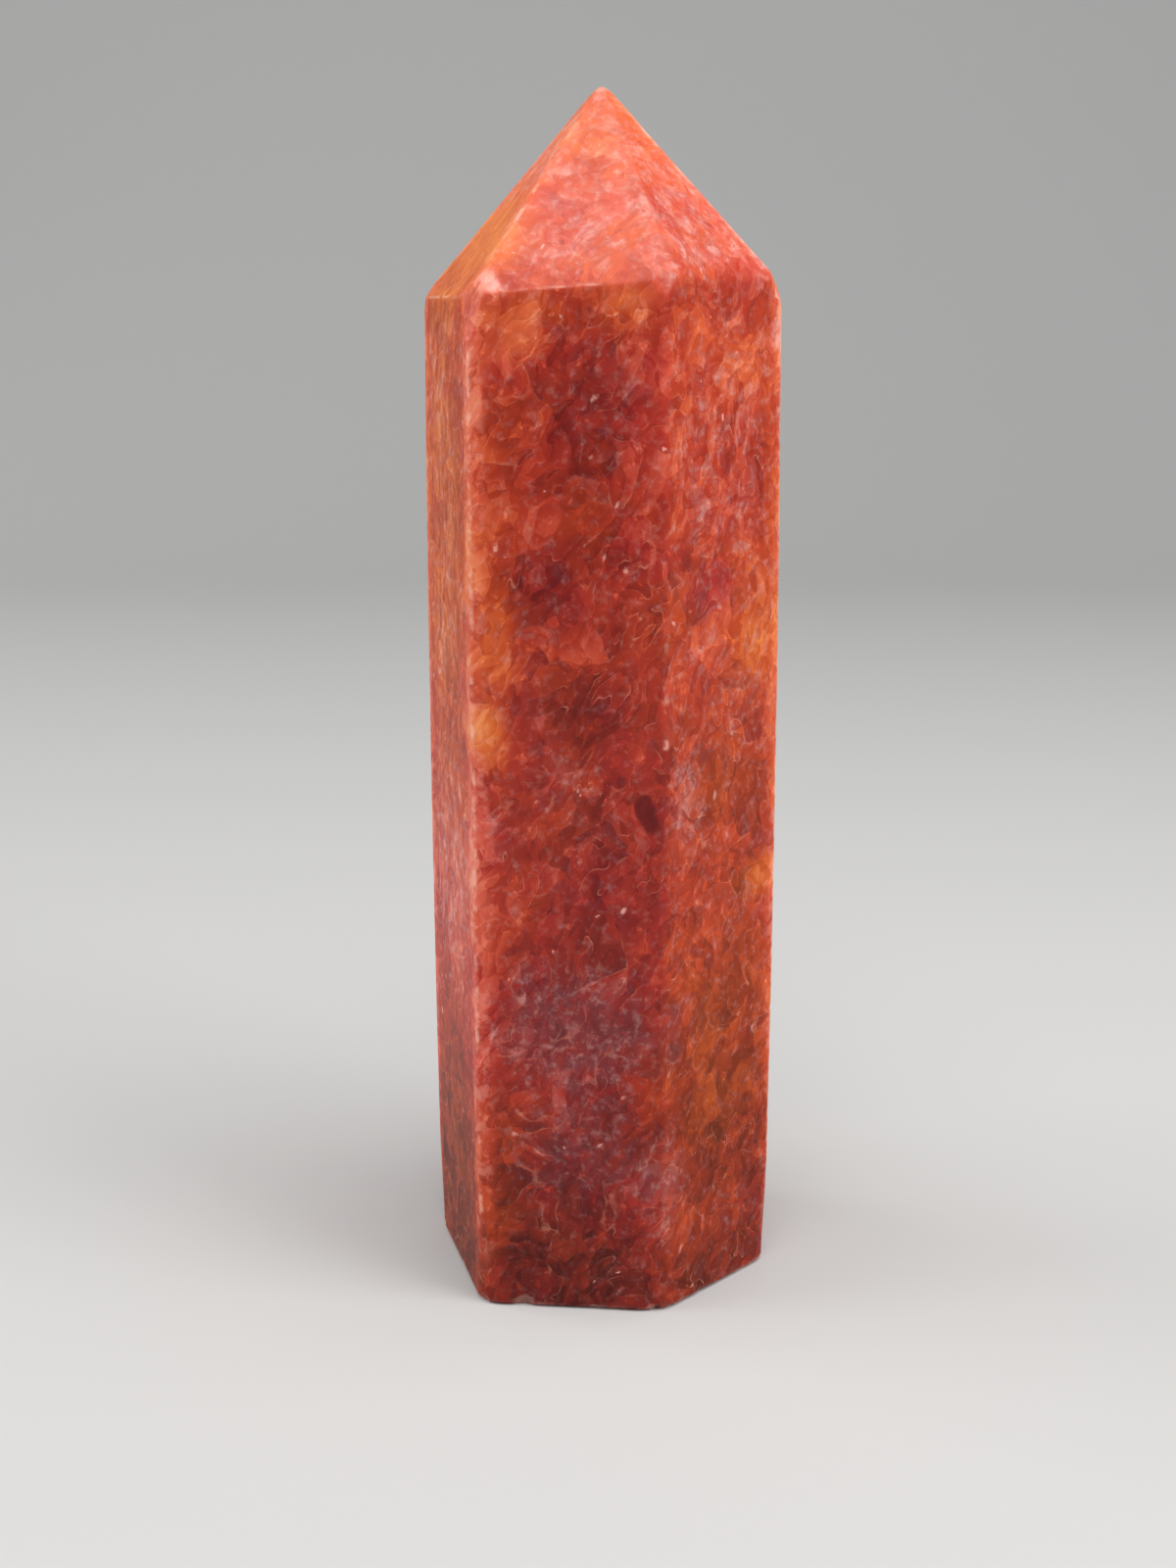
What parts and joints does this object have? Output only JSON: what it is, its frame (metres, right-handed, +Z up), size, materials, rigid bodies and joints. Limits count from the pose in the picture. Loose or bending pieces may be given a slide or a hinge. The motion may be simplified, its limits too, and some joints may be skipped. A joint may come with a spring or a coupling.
{
  "type": "sunstone point",
  "caption": "Six-sided polished tower of translucent red-orange stone with a faceted tip and a flat sawn foot.",
  "frame": {"origin": "middle of the flat foot, on the surface that the point stands on", "axes": "+Z up through the tip, -Y towards the front side that the picture shows widest"},
  "size_m": [0.0266, 0.0238, 0.09],
  "materials": {
    "sunstone": "polished, mottled red-orange with pale veils"
  },
  "bodies": {
    "root": {"stone": "sunstone"}
  },
  "joints": []
}
